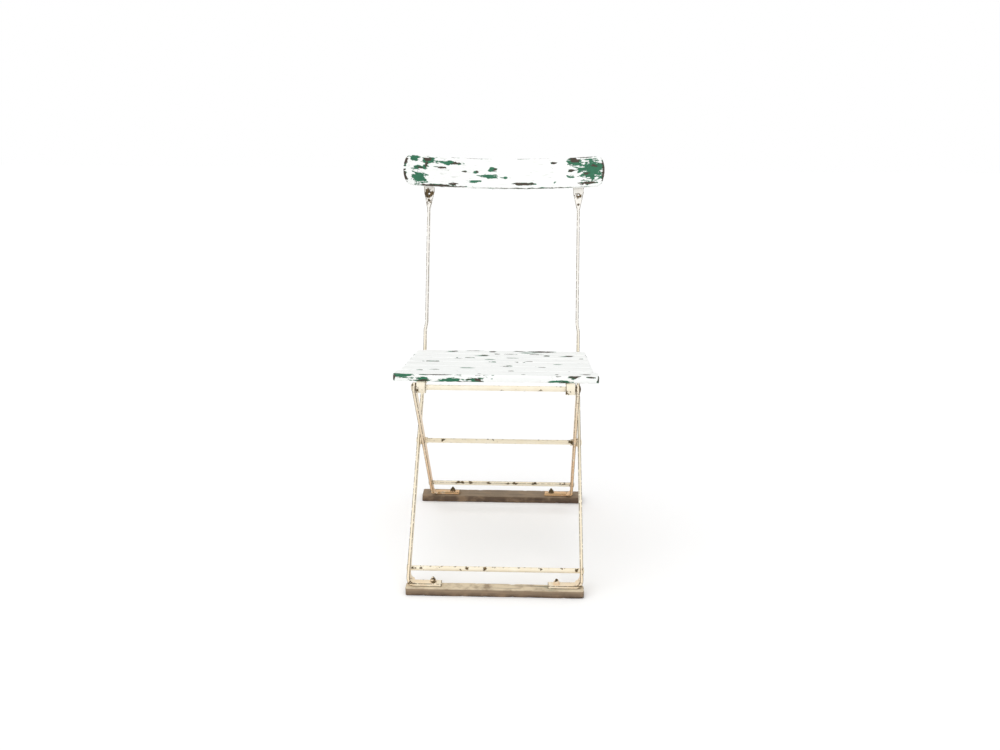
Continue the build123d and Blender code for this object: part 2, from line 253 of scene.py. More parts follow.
# %% Chipped paint
chip_group, chip_in, chip_out = effect_group(
    "chipped_paint",
    [
        ("Place", "NodeSocketVector", None),
        ("Field", "NodeSocketFloat", 0.0),
        ("Tear", "NodeSocketFloat", 1.0),
        ("Size", "NodeSocketFloat", 140.0),
        ("Along", "NodeSocketFloat", 0.35),
        ("Cut", "NodeSocketFloat", 0.0),
    ],
    ["Gone"],
)
flat_vector = chip_group.nodes.new("ShaderNodeCombineXYZ")
feed(chip_group, flat_vector.inputs["X"], chip_in["Along"])
flat_vector.inputs["Y"].default_value = 1.0
flat_vector.inputs["Z"].default_value = 1.0
along_vector = chip_group.nodes.new("ShaderNodeVectorMath")
along_vector.operation = "MULTIPLY"
feed(chip_group, along_vector.inputs[0], chip_in["Place"])
feed(chip_group, along_vector.inputs[1], flat_vector.outputs["Vector"])
chip_noise = noise_node(chip_group, along_vector.outputs["Vector"], chip_in["Size"], 6.0, 0.62)
chip_swing = sum_node(chip_group, "SUBTRACT", chip_noise, 0.5)
torn = sum_node(chip_group, "MULTIPLY", chip_swing, chip_in["Tear"])
field_torn = sum_node(chip_group, "ADD", chip_in["Field"], torn)
field_cut = sum_node(chip_group, "SUBTRACT", field_torn, chip_in["Cut"])
feed(chip_group, chip_out["Gone"], ramp_node(chip_group, field_cut, -0.03, 0.03))
print("chip group has", len(chip_group.nodes), "nodes")

# %% [markdown]
# Rust on painted iron comes in two sizes. It spreads from the joints and the feet, which the
# `rust` field on the mesh says, and it breaks through anywhere as small pits.

# %% Rust spots
rust_group, rust_in, rust_out = effect_group(
    "rust_spots",
    [
        ("Place", "NodeSocketVector", None),
        ("Field", "NodeSocketFloat", 0.0),
        ("Spots", "NodeSocketFloat", 0.7),
    ],
    ["Rust", "Shade"],
)
spread_noise = noise_node(rust_group, rust_in["Place"], 170.0, 6.0, 0.65)
spread_tear = sum_node(rust_group, "MULTIPLY", sum_node(rust_group, "SUBTRACT", spread_noise, 0.5), 2.2)
spread = ramp_node(rust_group, sum_node(rust_group, "ADD", rust_in["Field"], spread_tear), 0.42, 0.58)
pit_noise = noise_node(rust_group, rust_in["Place"], 95.0, 3.0, 0.5)
pit_edge = sum_node(rust_group, "ADD", rust_in["Spots"], 0.025)
pits = ramp_node(rust_group, pit_noise, rust_in["Spots"], pit_edge)
feed(rust_group, rust_out["Rust"], sum_node(rust_group, "MAXIMUM", spread, pits))
feed(rust_group, rust_out["Shade"], noise_node(rust_group, rust_in["Place"], 420.0, 4.0, 0.6))
print("rust group has", len(rust_group.nodes), "nodes")


# %% [markdown]
# ## Finishes
# The boards were painted green long ago, and white after that. Both coats have flaked, down to
# wood that has gone nearly black. So the colour is a stack: wood, green over it where the green
# coat holds, and white on top where the white coat holds. The same masks lift the surface a little,
# because a coat of paint has thickness.


# %% Material helper
def new_finish(name):
    """A material with its shader and the place on the object to read patterns at."""
    finish = bpy.data.materials.new(name)
    finish.use_nodes = True
    tree = finish.node_tree
    place = tree.nodes.new("ShaderNodeTexCoord").outputs["Object"]
    return finish, tree, tree.nodes["Principled BSDF"], place


# %% White paint over green paint over dark wood
board_finish, tree, shader, place = new_finish("white_over_green_boards")
grain = effect_node(tree, grain_group, Place=place)
bare_field = attribute_node(tree, "bare")
green_field = attribute_node(tree, "green")
rim_field = attribute_node(tree, "rim")
both_fields = sum_node(tree, "MAXIMUM", bare_field, green_field)
rim_vector = stretched(tree, place, (22.0, 60.0, 60.0))
rim_patches = ramp_node(tree, noise_node(tree, rim_vector, 1.0, 3.0), 0.5, 0.66)
rim_wear = sum_node(tree, "MULTIPLY", sum_node(tree, "MULTIPLY", rim_field, rim_patches), 1.6)
rim_lift = sum_node(tree, "SUBTRACT", rim_wear, 1.0)
white_field = sum_node(tree, "MAXIMUM", both_fields, rim_lift)
wood_field = sum_node(tree, "MAXIMUM", bare_field, sum_node(tree, "SUBTRACT", rim_lift, 0.12))
tearing = {"Tear": 2.9, "Along": 0.22, "Cut": 0.1}
white_gone = effect_node(tree, chip_group, Place=place, Field=white_field, Size=230.0, **tearing)["Gone"]
green_gone = effect_node(tree, chip_group, Place=place, Field=wood_field, Size=260.0, **tearing)["Gone"]
flecks = effect_node(tree, chip_group, Place=place, Field=-0.5, Tear=2.6, Size=230.0, Along=0.3)["Gone"]
wood_colour = blend_node(tree, grain["Streaks"], chart(28, 24, 22), chart(96, 84, 72))
green_shade = noise_node(tree, place, 120.0, 4.0)
green_colour = blend_node(tree, green_shade, chart(14, 78, 52), chart(40, 122, 88))
white_shade = noise_node(tree, stretched(tree, place, (14.0, 90.0, 90.0)), 1.0, 5.0)
white_colour = blend_node(tree, white_shade, chart(236, 239, 237), chart(254, 254, 252))
hair_cracks = sum_node(tree, "MULTIPLY", grain["Cracks"], 0.35)
white_cracked = blend_node(tree, hair_cracks, white_colour, chart(176, 178, 170))
white_flecked = blend_node(tree, flecks, white_cracked, chart(150, 152, 140))
coat = blend_node(tree, white_gone, white_flecked, green_colour)
gone_to_wood = sum_node(tree, "MULTIPLY", white_gone, green_gone)
feed(tree, shader.inputs["Base Color"], blend_node(tree, gone_to_wood, coat, wood_colour))
feed(tree, shader.inputs["Roughness"], sum_node(tree, "MULTIPLY_ADD", gone_to_wood, 0.3, 0.5))
coat_lost = sum_node(tree, "MULTIPLY_ADD", white_gone, 0.5, gone_to_wood)
coat_height = sum_node(tree, "SUBTRACT", 1.0, coat_lost)
surface_height = sum_node(tree, "MULTIPLY_ADD", grain["Streaks"], 0.35, coat_height)
feed(tree, shader.inputs["Normal"], bump_node(tree, surface_height, 0.5, 0.0006))
print("board finish has", len(tree.nodes), "nodes")

# %% [markdown]
# The runners were never painted. Their wood has gone grey-brown, lighter in patches where feet and
# weather rub the top and the ends.
# Faces that look up are paler too, partly weathering and partly painted light, and the other faces and
# the low part are darker, partly damp and partly painted shade.

# %% Weathered bare wood
runner_finish, tree, shader, place = new_finish("weathered_runners")
grain = effect_node(tree, grain_group, Place=place)
damp_and_shade_field = attribute_node(tree, "damp_and_shade")
pale_field = attribute_node(tree, "pale")
moss_field = attribute_node(tree, "moss")
patchy = noise_node(tree, place, 45.0, 4.0)
plank_colour = blend_node(tree, grain["Streaks"], chart(76, 58, 42), chart(168, 142, 114))
# The pale share paints weathering and, on faces that look up, painted light. The damp share below paints
# damp and painted shade.
pale_share = sum_node(tree, "MULTIPLY", pale_field, ramp_node(tree, patchy, 0.15, 0.55))
plank_pale = blend_node(tree, pale_share, plank_colour, chart(214, 198, 170))
moss_share = sum_node(tree, "MULTIPLY", moss_field, ramp_node(tree, patchy, 0.35, 0.6))
plank_mossy = blend_node(tree, moss_share, plank_pale, chart(132, 138, 120))
damp_and_shade_share = sum_node(tree, "MULTIPLY", damp_and_shade_field, ramp_node(tree, patchy, 0.25, 0.6))
plank_damp_and_shade = blend_node(tree, damp_and_shade_share, plank_mossy, chart(64, 50, 42))
crack_share = sum_node(tree, "MULTIPLY", grain["Cracks"], 0.8)
plank_cracked = blend_node(tree, crack_share, plank_damp_and_shade, chart(44, 34, 28))
feed(tree, shader.inputs["Base Color"], plank_cracked)
shader.inputs["Roughness"].default_value = 0.85
plank_height = sum_node(tree, "SUBTRACT", grain["Streaks"], grain["Cracks"])
feed(tree, shader.inputs["Normal"], bump_node(tree, plank_height, 0.8, 0.0008))
print("runner finish has", len(tree.nodes), "nodes")

# %% [markdown]
# The iron has one coat of cream paint. Above the seat the colour is blended to near white, which is
# painted light:
# the brighter light up there is put into the colour. The paint is gone along many edges, where dark
# brown iron shows, and it is stained orange where rust has run; on the short bars that stain also paints
# the shade under the seat. Edges get their own finish from the same recipe, with far more rust, so that
# a thin broken brown line follows each edge.


# %% Painted iron
def painted_iron(name, spots, extra_rust):
    """Cream paint on iron. Fewer spots as the limit rises, more bare iron as extra rust rises."""
    finish, tree, shader, place = new_finish(name)
    field = sum_node(tree, "ADD", attribute_node(tree, "rust"), extra_rust)
    rust = effect_node(tree, rust_group, Place=place, Field=field, Spots=spots)
    stain_patches = ramp_node(tree, noise_node(tree, place, 60.0, 4.0), 0.2, 0.52)
    # The stain colour is real rust staining, and on the short bars it also paints the shade under the
    # seat.
    stain_and_shade = sum_node(tree, "MULTIPLY", attribute_node(tree, "stain_and_shade"), stain_patches)
    cream_shade = noise_node(tree, place, 35.0, 4.0)
    cream = blend_node(tree, cream_shade, chart(234, 221, 188), chart(251, 246, 230))
    # Painted light: above the seat the cream is blended towards near white, for the brighter light up
    # there.
    height_above_floor = tree.nodes.new("ShaderNodeSeparateXYZ")
    feed(tree, height_above_floor.inputs["Vector"], place)
    painted_light_above_seat = ramp_node(tree, height_above_floor.outputs["Z"], 0.40, 0.50)
    cream = blend_node(tree, painted_light_above_seat, cream, chart(240, 240, 236))
    stained_and_shaded = blend_node(tree, stain_and_shade, cream, chart(222, 180, 132))
    rust_depth = ramp_node(tree, rust["Shade"], 0.35, 0.7)
    iron_colour = blend_node(tree, rust_depth, chart(46, 40, 26), chart(124, 100, 62))
    feed(tree, shader.inputs["Base Color"], blend_node(tree, rust["Rust"], stained_and_shaded, iron_colour))
    feed(tree, shader.inputs["Roughness"], sum_node(tree, "MULTIPLY_ADD", rust["Rust"], 0.4, 0.42))
    paint_left = sum_node(tree, "SUBTRACT", 1.0, rust["Rust"])
    height = sum_node(tree, "MULTIPLY_ADD", rust["Shade"], 0.5, paint_left)
    feed(tree, shader.inputs["Normal"], bump_node(tree, height, 0.5, 0.0004))
    return finish


iron_finish = painted_iron("cream_painted_iron", 0.69, 0.0)
iron_edge_finish = painted_iron("worn_iron_edges", 0.55, 0.62)
fastener_finish = painted_iron("rusty_fasteners", 0.6, 0.0)
print("iron finishes:", iron_finish.name, iron_edge_finish.name, fastener_finish.name)

# %% [markdown]
# ## Boards
# A slat is a plank with rounded corners and soft edges, so a cube is the right start: scaled to
# size, its upright edges bevelled for the corners, then the rims bevelled for the worn edges.
# A cube's faces are too large to carry fine values, so planes cut the board into small cells.
# Every cell corner can then be pushed in a little, and can store how worn the paint is there.


# %% Board helpers
BOARD_CELL = 0.0026


def cut_along(work, axis, low, high, cell):
    """Cuts a mesh across an axis into cells."""
    count = max(1, round((high - low) / cell))
    normal = Vector((0, 0, 0))
    normal[axis] = 1
    for step in range(1, count):
        place = normal * (low + (high - low) * step / count)
        everything = work.verts[:] + work.edges[:] + work.faces[:]
        bmesh.ops.bisect_plane(work, geom=everything, dist=1e-7, plane_co=place, plane_no=normal)


def soften(work, edges, width, segments, limited=True):
    """Rounds edges off. The limited width never passes the shortest edge nearby."""
    return bmesh.ops.bevel(
        work,
        geom=edges,
        offset=width,
        offset_type="OFFSET",
        affect="EDGES",
        segments=segments,
        profile=0.5,
        material=-1,
        clamp_overlap=limited,
    )["faces"]


def board(length, width, thickness, corner, rim):
    """A plank that lies flat with its middle at the origin, its length along X."""
    work = bmesh.new()
    bmesh.ops.create_cube(work, size=1.0)
    bmesh.ops.scale(work, vec=(length, width, thickness), verts=work.verts)
    uprights = [e for e in work.edges if abs(e.verts[0].co.z - e.verts[1].co.z) > thickness / 2]
    soften(work, uprights, corner, 6)
    rims = [e for e in work.edges if e.calc_face_angle(0.0) > math.radians(60)]
    soften(work, rims, rim, 3)
    cut_along(work, 0, -length / 2, length / 2, BOARD_CELL)
    cut_along(work, 1, -width / 2, width / 2, BOARD_CELL)
    return work


def rim_closeness(point, half, reach):
    """1 on a rim of a box, 0 at a reach from it. Half holds the box's half sizes."""
    gaps = sorted(half[axis] - abs(point[axis]) for axis in range(3))
    return max(0.0, 1.0 - max(0.0, gaps[1]) / reach)


def patch_field(point, patches):
    """How deep a point lies in a list of worn patches: 1 at a heart, 0 at a border, -1 far away."""
    deepest = -1.0
    for centre, radii in patches:
        reach = math.sqrt(sum(((point[axis] - centre[axis]) / radii[axis]) ** 2 for axis in range(3)))
        deepest = max(deepest, 1.0 - reach)
    return deepest


trial = board(0.1, 0.05, 0.014, 0.007, 0.0015)
print("a 100 mm board has", len(trial.faces), "faces")
trial.free()

# %% [markdown]
# Old boards aren't flat. Slow noise along the board makes it wander by a few tenths of a
# millimetre, and quick noise near a rim makes nicks. Each board gets its own seed, so no two are
# alike, and the same seed gives the same board each time.


# %% Wear and stored values
MM = 0.001


def wear(work, half, seed, wander, nick, nick_reach):
    """Moves the skin of a board: a slow wander all over, and nicks at the rims."""
    work.normal_update()
    moves = []
    for vertex in work.verts:
        point = vertex.co
        slow = noise.noise(Vector((point.x * 14, point.y * 50, point.z * 50)) + seed)
        quick = noise.noise(Vector((point.x * 90, point.y * 160, point.z * 160)) + seed)
        rim = rim_closeness(point, half, nick_reach)
        depth = wander * (slow - 0.55) + nick * rim * min(0.0, 0.12 - quick)
        moves.append(vertex.normal * depth)
    for vertex, move in zip(work.verts, moves):
        vertex.co += move


def store_fields(work, half, reach, patches):
    """Stores the rim closeness and the worn patches on each vertex, before the board is placed."""
    rim_layer = work.verts.layers.float.new("rim")
    layers = {name: work.verts.layers.float.new(name) for name in patches}
    for vertex in work.verts:
        vertex[rim_layer] = rim_closeness(vertex.co, half, reach)
        for name, found in patches.items():
            vertex[layers[name]] = patch_field(vertex.co, found)


def in_metres(found):
    """Patches written in millimetres, as centre and radii in metres."""
    return [(Vector(centre) * MM, Vector(radii) * MM) for centre, radii in found]


def show(work, name, finishes, body, nodes, smooth_angle=40):
    """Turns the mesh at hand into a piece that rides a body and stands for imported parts."""
    mesh = bpy.data.meshes.new(name)
    work.to_mesh(mesh)
    work.free()
    for finish in finishes:
        mesh.materials.append(finish)
    piece = bpy.data.objects.new(name, mesh)
    scene.collection.objects.link(piece)
    mesh.shade_smooth()
    mesh.set_sharp_from_angle(angle=math.radians(smooth_angle))
    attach(piece, body)
    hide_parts(*nodes)
    print(name, "has", len(mesh.polygons), "faces")
    return piece


# %% [markdown]
# ## Seat slats
# Six slats lie across the two rails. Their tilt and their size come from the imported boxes:
# the line from the first slat's middle to the last one's gives the tilt, and a tilted board's box
# gives its width and thickness by a little trigonometry. The bare and green patches are listed
# slat by slat, each as a centre and three radii in millimetres from the middle of its board.

# %% Seat slat sizes
first_low, first_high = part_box("seat_slat_1")
last_low, last_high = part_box("seat_slat_6")
first_middle = (first_low + first_high) / 2
last_middle = (last_low + last_high) / 2
seat_run = last_middle - first_middle
seat_tilt = math.atan2(-seat_run.z, seat_run.y)
box_depth = first_high.y - first_low.y
box_height = first_high.z - first_low.z
tilt_scale = math.cos(2 * seat_tilt)
slat_width = (box_depth * math.cos(seat_tilt) - box_height * math.sin(seat_tilt)) / tilt_scale
slat_thickness = (box_height * math.cos(seat_tilt) - box_depth * math.sin(seat_tilt)) / tilt_scale
print("seat tilt", round(math.degrees(seat_tilt), 2), "degrees")
print("slat", round(slat_width, 4), "x", round(slat_thickness, 4))

# %% Worn patches of the seat slats
FRONT = -slat_width / 2 / MM
TOP = slat_thickness / 2 / MM
slat_patches = {
    1: {
        "green": [
            ((-90, FRONT, -3), (36, 7, 6)),
            ((-140, FRONT, -4), (20, 5, 3)),
            ((110, FRONT, -3), (22, 5, 3)),
            ((-178, FRONT + 2, TOP - 1), (26, 6, 4)),
        ],
        "bare": [
            ((-139, FRONT, -3), (16, 4, 3)),
            ((-51, FRONT, 1), (9, 4, 3)),
            ((-36, FRONT, 0), (4, 4, 2.5)),
            ((52, FRONT, 1), (3, 4, 2.5)),
            ((76, FRONT, 0), (3, 4, 2.5)),
            ((106, FRONT, -1), (9, 4, 3)),
            ((175, FRONT, 0), (4, 4, 3)),
            ((-111, FRONT + 2, TOP), (36, 4, 2.5)),
            ((-32, -9, TOP), (4, 3, 3)),
            ((51, -12, TOP), (4, 3, 3)),
            ((114, -8, TOP), (5, 4, 3)),
            ((148, FRONT + 1, TOP), (15, 4, 3)),
            ((178, FRONT, TOP - 3), (10, 4, 3)),
            ((169, -4, TOP), (9, 6, 3)),
            ((-193, -4, 0), (4, 9, 5)),
            ((-192, FRONT + 5, 0), (6, 10, 8)),
            ((192, FRONT + 5, 0), (4, 8, 8)),
        ],
    },
    2: {
        "green": [((-60, 4, TOP), (16, 5, 3))],
        "bare": [((-120, -18, TOP), (14, 3, 3)), ((88, 20, TOP), (8, 3, 3))],
    },
    3: {
        "green": [((120, 2, TOP), (10, 4, 3))],
        "bare": [((20, -20, TOP), (9, 3, 3)), ((-186, 4, 0), (4, 12, 5))],
    },
    4: {
        "green": [((-20, 5, TOP), (12, 4, 3))],
        "bare": [((-187, 0, 0), (5, 22, 8)), ((64, -18, TOP), (10, 4, 3)), ((-86, 19, TOP), (12, 3, 3))],
    },
    5: {
        "green": [((-40, -2, TOP), (14, 6, 3)), ((142, 2, TOP), (13, 6, 3))],
        "bare": [
            ((-187, 0, 0), (5, 22, 8)),
            ((-34, 8, TOP), (10, 10, 3)),
            ((100, 10, TOP), (8, 8, 3)),
            ((149, 8, TOP), (10, 9, 3)),
        ],
    },
    6: {
        "green": [((60, -4, TOP), (18, 8, 3)), ((-110, 4, TOP), (12, 8, 3))],
        "bare": [
            ((92, 14, TOP), (30, 12, 4)),
            ((40, 18, TOP), (16, 6, 4)),
            ((-18, 8, TOP), (7, 10, 3)),
            ((-103, 10, TOP), (8, 10, 3)),
            ((-60, 20, TOP), (18, 4, 4)),
        ],
    },
}
patch_counts = [len(found) for kinds in slat_patches.values() for found in kinds.values()]
print("worn patches on the seat:", sum(patch_counts))

# %% Seat slats
SLAT_CORNER = 0.007
SLAT_RIM = 0.0018
PAINT_REACH = 0.006
seat_frame = Matrix.Rotation(-seat_tilt, 4, "X")

for number, patches in slat_patches.items():
    node = f"seat_slat_{number}"
    low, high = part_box(node)
    length = high.x - low.x
    half = Vector((length, slat_width, slat_thickness)) / 2
    work = board(length, slat_width, slat_thickness, SLAT_CORNER, SLAT_RIM)
    store_fields(work, half, PAINT_REACH, {kind: in_metres(found) for kind, found in patches.items()})
    wear(work, half, Vector((number * 7.3, number * 3.1, 0)), 0.0005, 0.003, 0.004)
    work.transform(Matrix.Translation((low + high) / 2) @ seat_frame)
    show(work, f"painted_slat_{number}", [board_finish], "seat", [node])

# %% [markdown]
# ## Back slat
# The back slat is a wider plank, bent so that its ends come forwards, with ends that bulge like
# the side of a barrel. It is shaped flat first: the ends are pulled in towards their corners, then
# every point moves forwards by the height of the arc at its place. Last it is leant back.

# %% Back slat
back_low, back_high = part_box("back_slat")
back_lean = math.radians(17.0)
back_width = 0.068
back_thickness = 0.012
back_radius = 0.800
back_end_bulge = 0.009
back_corner = 0.010
back_length = back_high.x - back_low.x
UP = back_width / 2 / MM
FACE = back_thickness / 2 / MM

back_patches = {
    "green": [
        ((-192, 18 - UP, FACE), (18, 16, 4)),
        ((-197, 40 - UP, FACE), (10, 6, 4)),
        ((-173, 58 - UP, FACE), (16, 9, 4)),
        ((-177, 45 - UP, FACE), (7, 10, 4)),
        ((-205, 60 - UP, FACE), (12, 8, 4)),
        ((-128, 55 - UP, FACE), (32, 5, 4)),
        ((-64, 36 - UP, FACE), (9, 4, 4)),
        ((-27, 42 - UP, FACE), (11, 6, 4)),
        ((-32, 27 - UP, FACE), (26, 5, 4)),
        ((-67, 14 - UP, FACE), (16, 4, 4)),
        ((198, 38 - UP, FACE), (31, 25, 4)),
        ((163, 58 - UP, FACE), (18, 10, 4)),
        ((3, 25 - UP, FACE), (4, 3, 4)),
        ((117, 12 - UP, FACE), (6, 3, 4)),
        ((150, 24 - UP, FACE), (10, 4, 4)),
    ],
    "bare": [
        ((-224, 20 - UP, FACE), (5, 17, 8)),
        ((-223, 53 - UP, FACE), (5, 13, 8)),
        ((-178, 60 - UP, FACE), (9, 6, 4)),
        ((-177, 47 - UP, FACE), (3, 8, 4)),
        ((-190, 40 - UP, FACE), (8, 3, 4)),
        ((-112, 55 - UP, FACE), (12, 3, 4)),
        ((-142, 43 - UP, FACE), (15, 3, 4)),
        ((-90, 36 - UP, FACE), (7, 2.6, 4)),
        ((-61, 37 - UP, FACE), (4, 2.6, 4)),
        ((-20, 43 - UP, FACE), (5, 4, 4)),
        ((-156, 1 - UP, FACE), (62, 3.5, 6)),
        ((-117, 7 - UP, FACE), (13, 3.5, 4)),
        ((42, 10 - UP, FACE), (32, 3.5, 4)),
        ((163, 62 - UP, FACE), (14, 6, 4)),
        ((152, 38 - UP, FACE), (9, 3.4, 4)),
        ((185, 69 - UP, FACE - 3), (42, 4, 8)),
        ((225, 35 - UP, FACE), (5, 30, 8)),
        ((193, 8 - UP, FACE), (20, 4, 4)),
        ((186, 30 - UP, FACE), (9, 3, 4)),
        ((204, 47 - UP, FACE), (8, 3, 4)),
        ((114, 56 - UP, FACE), (9, 3, 4)),
        ((-60, 69 - UP, FACE - 3), (40, 2.6, 5)),
        ((60, 69 - UP, FACE - 3), (60, 2.6, 5)),
        ((60, -1 - UP, FACE - 3), (150, 2.4, 5)),
    ],
}

half = Vector((back_length, back_width, back_thickness)) / 2
work = board(back_length, back_width, back_thickness, back_corner, 0.002)
store_fields(work, half, PAINT_REACH, {kind: in_metres(found) for kind, found in back_patches.items()})
wear(work, half, Vector((4.2, 1.7, 9.1)), 0.0005, 0.003, 0.004)
for vertex in work.verts:
    share = abs(vertex.co.y) / half.y
    vertex.co.x *= 1.0 - back_end_bulge * share**2 / half.x
    vertex.co.z += back_radius - math.sqrt(back_radius**2 - vertex.co.x**2)
up_direction = Vector((0, math.sin(back_lean), math.cos(back_lean)))
face_direction = Vector((0, -math.cos(back_lean), math.sin(back_lean)))
rear_edge = Vector((0, back_high.y - back_width * math.sin(back_lean), back_low.z))
middle = rear_edge + up_direction * half.y + face_direction * half.z
lean_frame = Matrix((Vector((1, 0, 0)), up_direction, face_direction)).transposed().to_4x4()
work.transform(Matrix.Translation(middle) @ lean_frame)
show(work, "painted_back_slat", [board_finish], "long_frame", ["back_slat"])

# %% [markdown]
# ## Iron bars and straps
# The bars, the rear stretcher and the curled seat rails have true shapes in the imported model,
# bends, bolt holes and all, so we keep those shapes. Only their razor-sharp edges look wrong.
# A copy of each mesh is merged, its flat faces are cleared of inner edges, and its sharp edges are
# bevelled. The narrow new faces take the worn edge finish. Cuts along the part then give the
# rust field enough points to live on.


# %% Iron helper
FLAT_ANGLE = math.radians(0.5)
SHARP_ANGLE = math.radians(40)
IRON_SMOOTH = 30
IRON = [iron_finish, iron_edge_finish]


def iron_copy(node, width, cells):
    """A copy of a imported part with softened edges, cut across each axis that has a cell size."""
    work = bmesh.new()
    work.from_mesh(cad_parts[node].data)
    bmesh.ops.remove_doubles(work, verts=work.verts, dist=1e-5)
    bmesh.ops.dissolve_limit(
        work,
        angle_limit=FLAT_ANGLE,
        verts=work.verts,
        edges=work.edges,
        use_dissolve_boundaries=False,
    )
    bmesh.ops.dissolve_degenerate(work, dist=2e-4, edges=work.edges)
    sharp = [e for e in work.edges if e.is_manifold and e.calc_face_angle(0.0) > SHARP_ANGLE]
    for face in soften(work, sharp, width, 2, False):
        face.material_index = 1
    low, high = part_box(node)
    for axis, cell in cells.items():
        cut_along(work, axis, low[axis], high[axis], cell)
    return work


def store_rust(work, base_rust, base_stain, rust_spots=(), stain_and_shade_spots=()):
    """Stores rust, and stain with any painted shade, on each vertex, stronger near the given places."""
    for name, base, spots in (("rust", base_rust, rust_spots), ("stain_and_shade", base_stain, stain_and_shade_spots)):
        layer = work.verts.layers.float.new(name)
        for vertex in work.verts:
            value = base
            for place, reach, strength in spots:
                near = 1.0 - (vertex.co - Vector(place)).length / reach
                value = max(value, base + strength * max(0.0, near))
            vertex[layer] = value


# %% Where the iron rusts
def middle_of(node):
    low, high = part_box(node)
    return (low + high) / 2


pivot_place = middle_of("pivot_rod")
hinge_place = middle_of("seat_hinge_rod")
seat_rod_place = middle_of("rear_seat_rod")
rear_foot_place = middle_of("rear_foot_nuts")
front_rod_place = middle_of("front_stretcher")
rear_rod_place = middle_of("rear_stretcher")


def at_side(place, x):
    return Vector((x, place.y, place.z))


BAR_CELLS = {0: 0.005, 1: 0.006, 2: 0.006}
EDGE_WEAR = 0.0010
SHORT_BAR_SLOPE = 1.18
spade_up = Vector((0, math.sin(back_lean), math.cos(back_lean)))
screws_low, screws_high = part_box("back_screws")
screws_middle = (screws_low + screws_high) / 2
left_spade = at_side(screws_middle, screws_low.x + 0.004)
right_spade = at_side(screws_middle, screws_high.x - 0.004)
spade_spots = {
    "left": [(left_spade - spade_up * 0.049, 0.017, 1.3), (left_spade - spade_up * 0.068, 0.014, 0.9)],
    "right": [
        (right_spade - spade_up * 0.050, 0.012, 1.1),
        (right_spade - spade_up * 0.074, 0.012, 0.8),
    ],
}

for side, sign in (("left", -1), ("right", 1)):
    low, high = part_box(f"{side}_long_bar")
    outer = (high.x if sign > 0 else low.x) - sign * 0.003
    spots = [
        (at_side(pivot_place, outer), 0.04, 0.3),
        (at_side(seat_rod_place, outer), 0.05, 0.3),
        (at_side(front_rod_place, outer), 0.03, 0.4),
        (Vector((outer, low.y, low.z)), 0.05, 0.4),
    ] + spade_spots[side]
    work = iron_copy(f"{side}_long_bar", EDGE_WEAR, BAR_CELLS)
    store_rust(work, 0.0, 0.12, spots, [(Vector((outer, low.y, low.z)), 0.09, 0.35)])
    name = f"{side}_painted_long_bar"
    show(work, name, IRON, "long_frame", [f"{side}_long_bar"], IRON_SMOOTH)

    low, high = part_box(f"{side}_short_bar")
    outer = (high.x if sign > 0 else low.x) - sign * 0.003
    # The tan stain spreading up each short bar from its foot is partly dirt and partly painted shade
    # from the seat above.
    stain_and_seat_shade = 1.3 if sign > 0 else 1.05
    spots = [
        (at_side(pivot_place, outer), 0.04, 0.3),
        (at_side(hinge_place, outer), 0.07, 0.45),
        (at_side(rear_rod_place, outer), 0.03, 0.35),
        (at_side(rear_foot_place, outer), 0.06, 0.3),
    ]
    if sign > 0:
        for drop in (0.022, 0.036, 0.052, 0.075, 0.1):
            down_the_bar = Vector((0, drop * SHORT_BAR_SLOPE, -drop))
            spots.append((at_side(hinge_place, outer) + down_the_bar, 0.012, 0.9))
    work = iron_copy(f"{side}_short_bar", EDGE_WEAR, BAR_CELLS)
    store_rust(work, 0.02, 0.1, spots, [(at_side(rear_foot_place, outer), 0.7, stain_and_seat_shade)])
    name = f"{side}_painted_short_bar"
    show(work, name, IRON, "short_frame", [f"{side}_short_bar"], IRON_SMOOTH)

    low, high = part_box(f"{side}_seat_rail")
    strap_edge = at_side(hinge_place, low.x) + Vector((0, -0.006, -0.004))
    work = iron_copy(f"{side}_seat_rail", EDGE_WEAR, BAR_CELLS)
    store_rust(work, 0.02, 0.1, [(strap_edge, 0.014, 0.9), (at_side(hinge_place, high.x), 0.02, 0.3)])
    name = f"{side}_painted_rail"
    show(work, name, IRON, "seat", [f"{side}_seat_rail"], IRON_SMOOTH)

work = iron_copy("rear_stretcher", 0.0008, {0: 0.0025, 2: 0.003})
flat_low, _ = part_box("rear_stretcher")
flat_face = Vector((0, flat_low.y - rear_rod_place.y, 0))
flat_marks = (-0.105, -0.094, -0.075, -0.029, 0.016, 0.033, 0.080)
spots = [(at_side(rear_rod_place, x) + flat_face, 0.010, 1.4) for x in flat_marks]
spots.append((at_side(rear_rod_place, 0.146) + flat_face, 0.02, 0.7))
store_rust(work, 0.0, 0.1, spots)
name = "painted_rear_stretcher"
show(work, name, IRON, "short_frame", ["rear_stretcher"], IRON_SMOOTH)

# %% [markdown]
# ## Rods, rivets and threads
# Everything round is turned on a lathe, and `spin` is a lathe: a line of points is swung round an
# axis. A rivet head is a low dome, and a thread shows as a row of small ridges. The rods lie along X,
# so the turned mesh is made round Z, and then laid down.


# %% Lathe
LATHE_STEPS = 28
LAY_DOWN = Matrix.Rotation(math.radians(90), 4, "Y")


def turned(profile):
    """A solid of revolution about Z. The profile is a list of (radius, height), closed on the axis."""
    work = bmesh.new()
    points = [work.verts.new((radius, 0.0, height)) for radius, height in profile]
    edges = [work.edges.new(pair) for pair in zip(points, points[1:])]
    bmesh.ops.spin(
        work,
        geom=points + edges,
        cent=(0, 0, 0),
        axis=(0, 0, 1),
        angle=math.tau,
        steps=LATHE_STEPS,
        use_merge=True,
        use_duplicate=False,
    )
    bmesh.ops.remove_doubles(work, verts=work.verts, dist=1e-6)
    bmesh.ops.recalc_face_normals(work, faces=work.faces)
    return work


